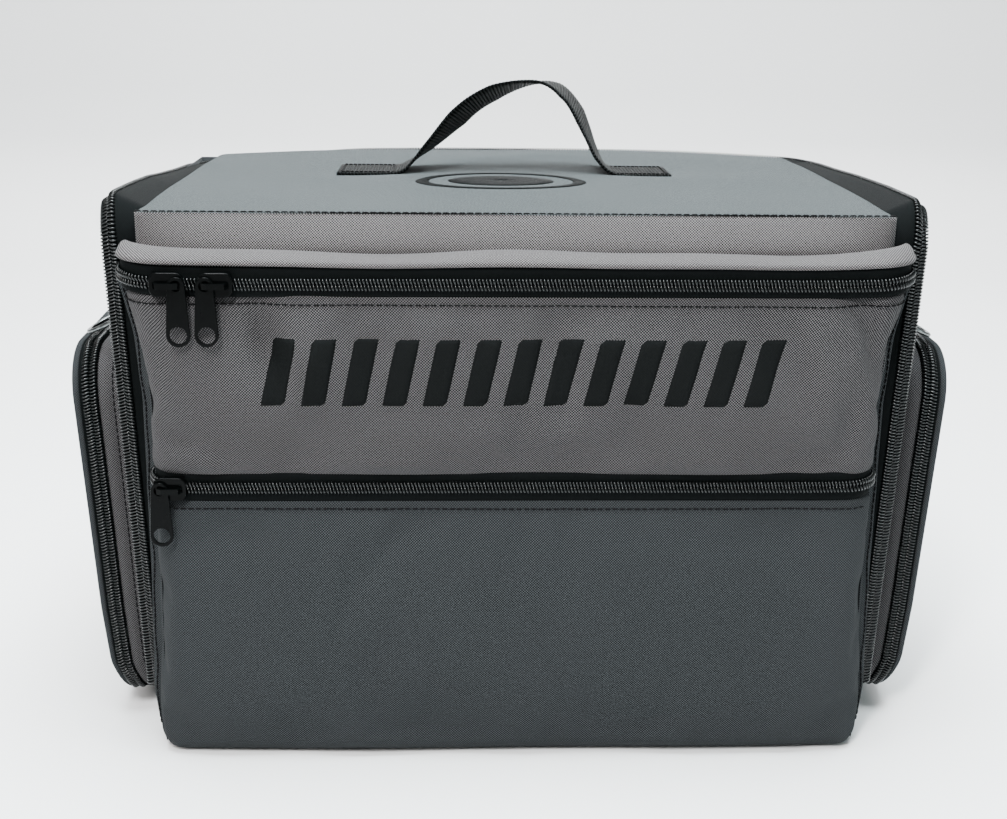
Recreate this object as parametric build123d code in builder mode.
from build123d import *
import os
from math import asin, cos, degrees, sin

os.makedirs("parts", exist_ok=True)

# Padded battery case: a box of soft panels whose front and top open as one zipped lid.
# Millimetres. Origin at the centre of the underside, +X right, -Y front, +Z up.

body_width = 420
body_depth = 250
body_height = 302
corner_radius = 14

# wall layers, from outside to inside
cover = 1.2
board = 3
pad = 7
lining = 0.8
wall = cover + board + pad + lining

half_width = body_width / 2
half_depth = body_depth / 2
fold_gap = 0.3

# the main zip takes the place of the sharp edges of the box
edge_band = 7  # from the sharp edge to the tape, along each face
tape_width = 8
coil_thickness = 2
coil_gap = 0.4
zip_foot = 35  # height at which the zip ends at both front corners
panel_half = half_width - edge_band - tape_width
lid_half = half_width - edge_band
split = edge_band / 2

base_sheet = 1.5
base_half = 208
lid_foot = base_sheet + 0.5
lid_top_underside = body_height - wall
wall_top = lid_top_underside - 0.5
front_top = lid_top_underside - fold_gap
side_front = -half_depth + wall + 0.5
tape_foot = body_height - edge_band - tape_width

# front pocket, deeper and a little wider at its top
pocket_low = 3
pocket_high = 284
pocket_half = (193, 197)
pocket_depth = (14, 28)
pocket_radius = (13, 22)
hem = 4.2  # strip of the pocket's sides that is sewn to the lid
pocket_zip = 271
mid_zip = 162
pocket_tape = 7
pocket_coil = 4.8
pocket_roof = 282
face_foot = 4.6
lining_space = 3
lining_half = 170

# side pockets
side_half = 95
side_low = 13
side_high = 220
side_radius = 25
side_frame = 20
side_split = 26
side_depth = 38
side_tape = 6

# strap rings and their tabs
ring_y = -67
ring_z = 238
ring_out = 4
ring_wire = 1.25
ring_half = 15
ring_reach = 26
ring_drop = 12
ring_bend = 3
tab_half = 11
tab_top = 264
tab_bore = 1.6
tab_radius = 3

# carrying handle of flat webbing
webbing_width = 38
webbing = 2
handle_top = 363
handle_left = -61
handle_right = 56
handle_foot = 311.5
patch_left = -105
patch_right = 101
patch_length = 38.7

# sliders and pulls
slider_length = 17
slider_width = 12.4
slider_low = 0.7
slider_plate = 3.2
slider_high = 5
slider_corner = 4
slider_edge = 0.6
flange = 1.3
post_offset = 5
post = 2.4
bridge_width = 3
bridge_under = 2.6
bridge_top = 4.2
bridge_heel = 7
pull_rise = 0.4
pull_length = 31
pull_neck = 4.4
pull_end = 6
pull_thickness = 1.6
pull_eye = 2.8
pull_hole = 4.4


def save(piece, name):
    """Name a finished piece and write it."""
    piece.part.label = name
    export_step(piece.part, f"parts/{name}.step")


def block(x, y, z, mode=Mode.ADD):
    """A box between the given limits, put into the piece being built."""
    with Locations(((x[0] + x[1]) / 2, (y[0] + y[1]) / 2, (z[0] + z[1]) / 2)):
        Box(abs(x[1] - x[0]), abs(y[1] - y[0]), abs(z[1] - z[0]), mode=mode)


def layer(name, x, y, z):
    """One flat layer of a wall as a piece of its own."""
    with BuildPart() as sheet:
        block(x, y, z)
    save(sheet, name)


def lid_coil():
    """Section of the lid's half of the chain: inwards from the sharp edge, and into the body."""
    inner = split + coil_gap
    return [
        (-edge_band, 0),
        (-inner, edge_band - inner),
        (-inner, edge_band - inner + coil_thickness),
        (-edge_band, coil_thickness),
    ]


def case_coil():
    """Section of the case's half of the chain, the lid's half turned about the split."""
    outer = split - coil_gap
    return [
        (-outer, edge_band - outer),
        (0, edge_band),
        (-coil_thickness, edge_band),
        (-outer, edge_band - outer + coil_thickness),
    ]


def coil_upright(section, side, low, high):
    """A chain half that runs up a front corner."""
    with BuildSketch(Plane.XY.offset(low)) as outline:
        points = [(side * (half_width + u), v - half_depth) for u, v in section]
        Polygon(*points, align=None)
    extrude(outline.sketch, amount=high - low)


def coil_along_side(section, side, front, back):
    """A chain half that runs along the top edge of a side."""
    with BuildSketch(Plane.XZ.offset(-back)) as outline:
        points = [(side * (half_width + u), body_height - v) for u, v in section]
        Polygon(*points, align=None)
    extrude(outline.sketch, amount=back - front)


def coil_across_back(section, half):
    """A chain half that runs along the top edge of the back."""
    with BuildSketch(Plane.YZ.offset(-half)) as outline:
        Polygon(*[(half_depth + u, body_height - v) for u, v in section], align=None)
    extrude(outline.sketch, amount=2 * half)


# Case: base, back and two sides

with BuildPart() as base_cover:
    with BuildSketch():
        Rectangle(2 * base_half, body_depth - 2)
        fillet(vertices().group_by(Axis.Y)[-1], corner_radius)
        with Locations((0, -(half_depth + pocket_depth[0]) / 2)):
            Rectangle(2 * pocket_half[0] - pocket_radius[0], half_depth + pocket_depth[0])
    extrude(amount=base_sheet)
save(base_cover, "base_cover")

inside_half = half_width - wall
back_inside = half_depth - wall
board_half = half_width - corner_radius
base_y = (side_front, half_depth - corner_radius + board + 2)
base_board_top = base_sheet + board
base_pad_top = base_board_top + pad - 0.3
layer("base_board", (-base_half + 3, base_half - 3), base_y, (base_sheet, base_board_top))
pad_half = half_width - cover - board - 0.2
layer("base_pad", (-pad_half, pad_half), base_y, (base_board_top, base_pad_top))

with BuildPart() as back_cover:
    with BuildSketch(Plane.XY.offset(base_sheet)):
        RectangleRounded(body_width, body_depth, corner_radius)
        RectangleRounded(
            body_width - 2 * cover,
            body_depth - 2 * cover,
            corner_radius - cover,
            mode=Mode.SUBTRACT,
        )
        with Locations((0, half_depth - corner_radius / 2)):
            Rectangle(body_width, corner_radius, mode=Mode.INTERSECT)
    extrude(amount=tape_foot - base_sheet)
save(back_cover, "back_cover")

panel_z = (base_pad_top + lining, wall_top)
back_board_y = (half_depth - cover - board, half_depth - cover)
back_pad_y = (half_depth - wall + lining, half_depth - cover - board)
layer("back_board", (-board_half, board_half), back_board_y, (base_sheet, wall_top))
layer("back_pad", (-board_half, board_half), back_pad_y, panel_z)

for side, word in ((-1, "left"), (1, "right")):
    back = half_depth - corner_radius
    outer = half_width - cover
    with BuildPart() as side_cover:
        x = (side * outer, side * half_width)
        block(x, (-half_depth + edge_band + tape_width, back), (base_sheet, tape_foot))
        block(
            x,
            (-half_depth + edge_band, -half_depth + edge_band + tape_width),
            (base_sheet, zip_foot),
        )
    save(side_cover, f"{word}_cover")
    board_x = (side * (outer - board), side * outer)
    pad_x = (side * (inside_half + lining), side * (outer - board))
    layer(f"{word}_board", board_x, (side_front, back), (base_pad_top, wall_top))
    layer(f"{word}_pad", pad_x, (side_front, back), panel_z)

with BuildPart() as case_liner:
    y = (side_front, half_depth - wall + lining)
    x = (-inside_half - lining, inside_half + lining)
    block(x, y, (base_pad_top, wall_top))
    inner_x = (-inside_half, inside_half)
    block(inner_x, (side_front - 1, back_inside), (panel_z[0], body_height), Mode.SUBTRACT)
save(case_liner, "case_liner")

with BuildPart() as case_zip:
    coil_top = body_height - edge_band + split - coil_gap
    back_end = half_depth - coil_thickness
    for side in (-1, 1):
        coil_upright(case_coil(), side, zip_foot, coil_top)
        coil_along_side(case_coil(), side, -half_depth + split - coil_gap, back_end)
        x = (side * (half_width - cover), side * half_width)
        tape_front = -half_depth + edge_band
        block(x, (tape_front, tape_front + tape_width), (zip_foot, body_height - edge_band))
        block(x, (tape_front, half_depth - corner_radius), (tape_foot, body_height - edge_band))
    coil_across_back(case_coil(), half_width - coil_thickness)
    block(
        (-board_half, board_half),
        (half_depth - cover, half_depth),
        (tape_foot, body_height - edge_band),
    )
save(case_zip, "case_zip_half")

# Front of the lid

lid_x = (-lid_half, lid_half)
front_cover_y = (-half_depth, -half_depth + cover)
front_board_y = (front_cover_y[1], front_cover_y[1] + board)
front_pad_y = (front_board_y[1], front_board_y[1] + pad)
front_liner_y = (front_pad_y[1], front_pad_y[1] + lining)

with BuildPart() as front_cover:
    block((-panel_half, panel_half), front_cover_y, (lid_foot, front_top))
    block((-lid_half, lid_half), front_cover_y, (lid_foot, zip_foot))
save(front_cover, "front_cover")
layer("front_board", lid_x, front_board_y, (lid_foot, front_top))
layer("front_pad", lid_x, front_pad_y, (lid_foot, front_top))
layer("front_liner", lid_x, front_liner_y, (lid_foot, front_top))

with BuildPart() as front_zip:
    for side in (-1, 1):
        block((side * panel_half, side * lid_half), front_cover_y, (zip_foot, front_top))
        coil_upright(lid_coil(), side, zip_foot, front_top)
save(front_zip, "front_zip_half")

# Top of the lid, which folds at its front edge

top_back = half_depth - edge_band
top_y = (-half_depth + cover, top_back)
with BuildPart() as top_cover:
    panel_y = (-half_depth, top_back - tape_width)
    panel_x = (-panel_half, panel_half)
    block(panel_x, panel_y, (body_height - cover, body_height))
    block(lid_x, front_cover_y, (lid_top_underside, body_height - cover))
save(top_cover, "top_cover")
top_board_z = (body_height - cover - board, body_height - cover)
layer("top_board", lid_x, top_y, top_board_z)
layer("top_pad", lid_x, top_y, (lid_top_underside + lining, top_board_z[0]))
layer("top_liner", lid_x, top_y, (lid_top_underside, lid_top_underside + lining))

with BuildPart() as top_zip:
    tape_z = (body_height - cover, body_height)
    coil_front = -half_depth + edge_band
    for side in (-1, 1):
        block((side * panel_half, side * lid_half), (-half_depth, top_back), tape_z)
        coil_along_side(lid_coil(), side, coil_front, half_depth - split - coil_gap)
    block((-lid_half, lid_half), (top_back - tape_width, top_back), tape_z)
    coil_across_back(lid_coil(), half_width - split - coil_gap)
save(top_zip, "top_zip_half")

# Front pocket: a tapered tray with round upright corners, in level bands


def between(pair, height):
    """A dimension of the pocket at a height, between its low and its high value."""
    share = (height - pocket_low) / (pocket_high - pocket_low)
    return pair[0] + share * (pair[1] - pair[0])


def pocket_plan(height, inset):
    """Plan of the pocket at a height, drawn inset from its outer face."""
    half = between(pocket_half, height) - inset
    front = -half_depth - between(pocket_depth, height) + inset
    radius = between(pocket_radius, height) - inset
    with BuildSketch(Plane.XY.offset(height)) as plan:
        with BuildLine():
            Line((-half, -half_depth), (half, -half_depth))
            Line((half, -half_depth), (half, front + radius))
            RadiusArc((half, front + radius), (half - radius, front), radius)
            Line((half - radius, front), (radius - half, front))
            RadiusArc((radius - half, front), (-half, front + radius), radius)
            Line((-half, front + radius), (-half, -half_depth))
        make_face()
    return plan.sketch


def pocket_band(low, high, back, inset=0.0, thickness=cover):
    """The pocket's fabric between two heights, in front of the plane Y = back."""
    outer = [pocket_plan(low, inset), pocket_plan(high, inset)]
    inner = [pocket_plan(low, inset + thickness), pocket_plan(high, inset + thickness)]
    loft(outer, ruled=True)
    loft(inner, ruled=True, mode=Mode.SUBTRACT)
    block((-half_width, half_width), (back, -half_depth + 1), (low, high), Mode.SUBTRACT)


hem_back = -half_depth - hem
face_back = hem_back - fold_gap
zip_edge = pocket_zip + fold_gap / 2 + 0.05
face_edge = pocket_zip - fold_gap / 2 - 0.05

with BuildPart() as pocket_gusset:
    outer = [pocket_plan(pocket_low, 0), pocket_plan(pocket_roof, 0)]
    inner = [pocket_plan(pocket_low, cover), pocket_plan(pocket_roof, cover)]
    loft(outer, ruled=True)
    loft(inner, ruled=True, mode=Mode.SUBTRACT)
    reach = -half_depth - pocket_depth[1] - 1
    block((-half_width, half_width), (reach, hem_back), (pocket_low, pocket_high), Mode.SUBTRACT)
    loft([pocket_plan(pocket_low, 0), pocket_plan(pocket_low + cover, 0)], ruled=True)
save(pocket_gusset, "pocket_gusset")

with BuildPart() as pocket_roof_strip:
    loft([pocket_plan(pocket_roof, 0), pocket_plan(pocket_roof + cover, 0)], ruled=True)
save(pocket_roof_strip, "pocket_roof")

with BuildPart() as pocket_upper_zip:
    pocket_band(zip_edge, pocket_roof, hem_back)
save(pocket_upper_zip, "pocket_upper_zip_half")

with BuildPart() as pocket_lower_zip:
    pocket_band(pocket_zip - pocket_coil, face_edge, face_back)
save(pocket_lower_zip, "pocket_lower_zip_half")

with BuildPart() as pocket_upper_face:
    pocket_band(mid_zip + pocket_tape, pocket_zip - pocket_coil, face_back)
save(pocket_upper_face, "pocket_upper_face")

with BuildPart() as pocket_lower_face:
    pocket_band(face_foot, mid_zip - pocket_tape, face_back)
save(pocket_lower_face, "pocket_lower_face")

with BuildPart() as mid_zip_halves:
    pocket_band(mid_zip - pocket_tape, mid_zip + pocket_tape, face_back)
    slit = (mid_zip - fold_gap / 2, mid_zip + fold_gap / 2)
    reach = -half_depth - pocket_depth[1] - 1
    block((-half_width, half_width), (reach, face_back), slit, Mode.SUBTRACT)
save(mid_zip_halves, "mid_zip_halves")

with BuildPart() as mid_pocket_lining:
    pocket_band(wall, mid_zip + 3, face_back, cover + lining_space, lining)
    for side in (-1, 1):
        x = (side * lining_half, side * half_width)
        block(x, (reach, face_back), (0, body_height), Mode.SUBTRACT)
save(mid_pocket_lining, "mid_pocket_lining")

# Side pockets: a sewn frame on the case and a cover that folds down


def side_plan(distance, side, inset):
    """Outline of a side pocket at a distance from the side of the case."""
    plane = Plane.YZ.offset(side * (half_width + distance))
    with BuildSketch(plane) as plan:
        with Locations((0, (side_low + side_high) / 2)):
            width = 2 * (side_half - inset)
            height = side_high - side_low - 2 * inset
            RectangleRounded(width, height, side_radius - inset)
    return plan.sketch


def side_ring(near, far, side):
    """The fabric round a side pocket between two distances from the case."""
    extrude(side_plan(near, side, 0), amount=side * (far - near))
    extrude(side_plan(near, side, cover), amount=side * (far - near), mode=Mode.SUBTRACT)


for side, word in ((-1, "left"), (1, "right")):
    inner_edge = side_split - fold_gap / 2
    outer_edge = side_split + fold_gap / 2
    with BuildPart() as side_gusset:
        side_ring(0, side_frame, side)
    save(side_gusset, f"{word}_pocket_gusset")
    with BuildPart() as inner_zip:
        side_ring(side_frame, inner_edge, side)
    save(inner_zip, f"{word}_pocket_inner_zip_half")
    with BuildPart() as outer_zip:
        side_ring(outer_edge, outer_edge + side_tape, side)
    save(outer_zip, f"{word}_pocket_outer_zip_half")
    with BuildPart() as pocket_cover:
        near = outer_edge + side_tape
        extrude(side_plan(near, side, 0), amount=side * (side_depth - near))
        depth = side * (side_depth - cover - near)
        extrude(side_plan(near, side, cover), amount=depth, mode=Mode.SUBTRACT)
        outer_face = pocket_cover.faces().sort_by(Axis.X)[0 if side < 0 else -1]
        fillet(outer_face.edges(), cover - 0.2)
    save(pocket_cover, f"{word}_pocket_cover")

# Strap rings and the webbing tabs that hold them

bar_x = half_width + ring_out
slope = asin(ring_drop / ring_reach)
for side, word in ((-1, "left"), (1, "right")):
    with BuildPart() as ring_tab:
        with BuildSketch(Plane.XZ.offset(-ring_y - tab_half)):
            with Locations((side * bar_x, ring_z)):
                Circle(tab_radius)
            strip = 2 * (bar_x - half_width) - 2 * tab_radius + 3.2
            with Locations((side * (half_width + strip / 2), (ring_z + tab_top) / 2)):
                Rectangle(strip, tab_top - ring_z)
            with Locations((side * (half_width - 5), (ring_z + tab_top) / 2)):
                Rectangle(10, 2 * tab_top, mode=Mode.SUBTRACT)
            with Locations((side * bar_x, ring_z)):
                Circle(tab_bore, mode=Mode.SUBTRACT)
        extrude(amount=2 * tab_half)
    save(ring_tab, f"{word}_ring_tab")

    outward = (side * cos(slope), 0, -sin(slope))
    across = Vector(outward).cross(Vector(0, 1, 0))
    ring_plane = Plane((side * bar_x, ring_y, ring_z), outward, across)
    with BuildPart() as strap_ring:
        with BuildLine(ring_plane) as ring_path:
            flat = ring_half - ring_bend
            shoulder = ring_reach - ring_half
            bar = Line((0, -flat), (0, flat))
            near_arc = TangentArc(bar @ 1, (ring_bend, ring_half), tangent=bar % 1)
            near_arm = Line(near_arc @ 1, (shoulder, ring_half))
            bow = TangentArc(near_arm @ 1, (shoulder, -ring_half), tangent=near_arm % 1)
            far_arm = Line(bow @ 1, (ring_bend, -ring_half))
            TangentArc(far_arm @ 1, bar @ 0, tangent=far_arm % 1)
        with BuildSketch(Plane(ring_path.line @ 0, z_dir=ring_path.line % 0)):
            Circle(ring_wire)
        sweep(path=ring_path.line)
    save(strap_ring, f"{word}_strap_ring")

# Carrying handle

with BuildPart() as handle_ends:
    y = (-webbing_width / 2, webbing_width / 2)
    z = (body_height, body_height + webbing)
    rise = body_height + 8
    for outside, foot, inward in ((patch_left, handle_left, 1), (patch_right, handle_right, -1)):
        foot -= inward * fold_gap
        near = outside + inward * patch_length
        block((outside, near), y, z)
        with BuildSketch(Plane.XZ.offset(-webbing_width / 2)) as ramp:
            points = [(near, z[0]), (foot, rise - webbing), (foot, rise), (near, z[1])]
            Polygon(*points, align=None)
        extrude(ramp.sketch, amount=webbing_width)
save(handle_ends, "handle_ends")

with BuildPart() as handle:
    span = handle_right - handle_left
    rise = handle_top - handle_foot
    arch_radius = ((span / 2) ** 2 + rise**2) / (2 * rise)
    arch_x = (handle_left + handle_right) / 2
    with BuildSketch(Plane.XZ.offset(-webbing_width / 2)):
        with Locations((arch_x, handle_top - arch_radius)):
            Circle(arch_radius)
            Circle(arch_radius - webbing, mode=Mode.SUBTRACT)
        with Locations((arch_x, (handle_top + handle_foot) / 2)):
            Rectangle(span, rise, mode=Mode.INTERSECT)
    extrude(amount=webbing_width)
save(handle, "handle_webbing")

# Sliders and their pulls


def slider_and_pull(name, centre, outward, run, hang):
    """A zip slider and its pull.

    The slider sits at centre on the face that looks outward, with the post of its bridge
    towards run. The pull's eye is round the post, and the pull hangs towards hang.
    """
    run_plane = Plane(centre, run, outward)
    side_plane = Plane(centre, run, Vector(run).cross(Vector(outward)))
    with BuildPart() as slider:
        with BuildSketch(run_plane.offset(slider_plate)):
            RectangleRounded(slider_length, slider_width, slider_corner)
        extrude(amount=slider_high - slider_plate)
        top_face = slider.faces().sort_by(Axis(centre, outward)).last
        fillet(top_face.edges(), slider_edge)
        with BuildSketch(run_plane.offset(slider_low)):
            for edge in (-1, 1):
                with Locations((-slider_length / 8, edge * (slider_width - flange) / 2)):
                    Rectangle(slider_length * 0.6, flange)
        extrude(amount=slider_plate - slider_low)
        with BuildSketch(side_plane):
            inner_left = post - bridge_heel
            inner_right = post_offset - post / 2
            outer_right = post_offset + post / 2
            low = slider_high - slider_edge
            top = slider_high + bridge_top
            under = slider_high + bridge_under
            outline = [(-bridge_heel, low), (-bridge_heel + 2, top - 0.6), (inner_right, top)]
            outline += [(outer_right, top - 1.2), (outer_right, low)]
            Polygon(*outline, align=None)
            opening = [(inner_left, low), (inner_left + 1, under), (inner_right, under)]
            Polygon(*opening, (inner_right, low), align=None, mode=Mode.SUBTRACT)
        extrude(amount=bridge_width / 2, both=True)
    save(slider, f"{name}_slider")

    pivot = run_plane.from_local_coords(Vector(post_offset, 0, slider_high + pull_rise))
    pull_plane = Plane(pivot, Vector(outward).cross(Vector(hang)), outward)
    with BuildPart() as pull:
        with BuildSketch(pull_plane):
            with BuildLine():
                tip = pull_length - pull_end
                Line((-pull_end, -tip), (-pull_neck, 0))
                ThreePointArc((-pull_neck, 0), (0, pull_neck), (pull_neck, 0))
                Line((pull_neck, 0), (pull_end, -tip))
                ThreePointArc((pull_end, -tip), (0, -pull_length), (-pull_end, -tip))
            make_face()
            Circle(pull_eye, mode=Mode.SUBTRACT)
            with Locations((0, -tip)):
                Circle(pull_hole, mode=Mode.SUBTRACT)
        extrude(amount=pull_thickness)
        rim = pull.faces().filter_by(GeomType.PLANE).sort_by(SortBy.AREA)[-2:]
        fillet(rim.edges().filter_by(GeomType.CIRCLE, reverse=True), 0.4)
    save(pull, f"{name}_pull")
    print(name, "pull pivot", [round(value, 2) for value in pivot])


left = (-1, 0, 0)
right = (1, 0, 0)
front = (0, -1, 0)
rear = (0, 1, 0)
down = (0, 0, -1)
up = (0, 0, 1)


def face_y(height):
    """Y of the front pocket's face at a height."""
    return -half_depth - between(pocket_depth, height)


pocket_sliders = (("outer", -174.5, right), ("inner", -150.5, left))
mid_slider_x = -180
main_slider_x = 14
side_slider_z = 62
for word, x, run in pocket_sliders:
    place = (x, face_y(pocket_zip), pocket_zip)
    slider_and_pull(f"pocket_{word}", place, front, run, down)
slider_and_pull("mid", (mid_slider_x, face_y(mid_zip), mid_zip), front, left, down)

back_edge = (half_depth - split, body_height - split)
back_out = (0, 1, 1)
back_down = (0, 1, -1)
slider_and_pull("main_left", (-main_slider_x, *back_edge), back_out, right, back_down)
slider_and_pull("main_right", (main_slider_x, *back_edge), back_out, left, back_down)
for side, word in ((-1, "left"), (1, "right")):
    place = (side * (half_width + side_split), side_half, side_slider_z)
    slider_and_pull(f"{word}_side", place, rear, down, down)

print("ring slope", round(degrees(slope), 1))
print("handle arc", round(2 * arch_radius * asin(span / 2 / arch_radius), 1))
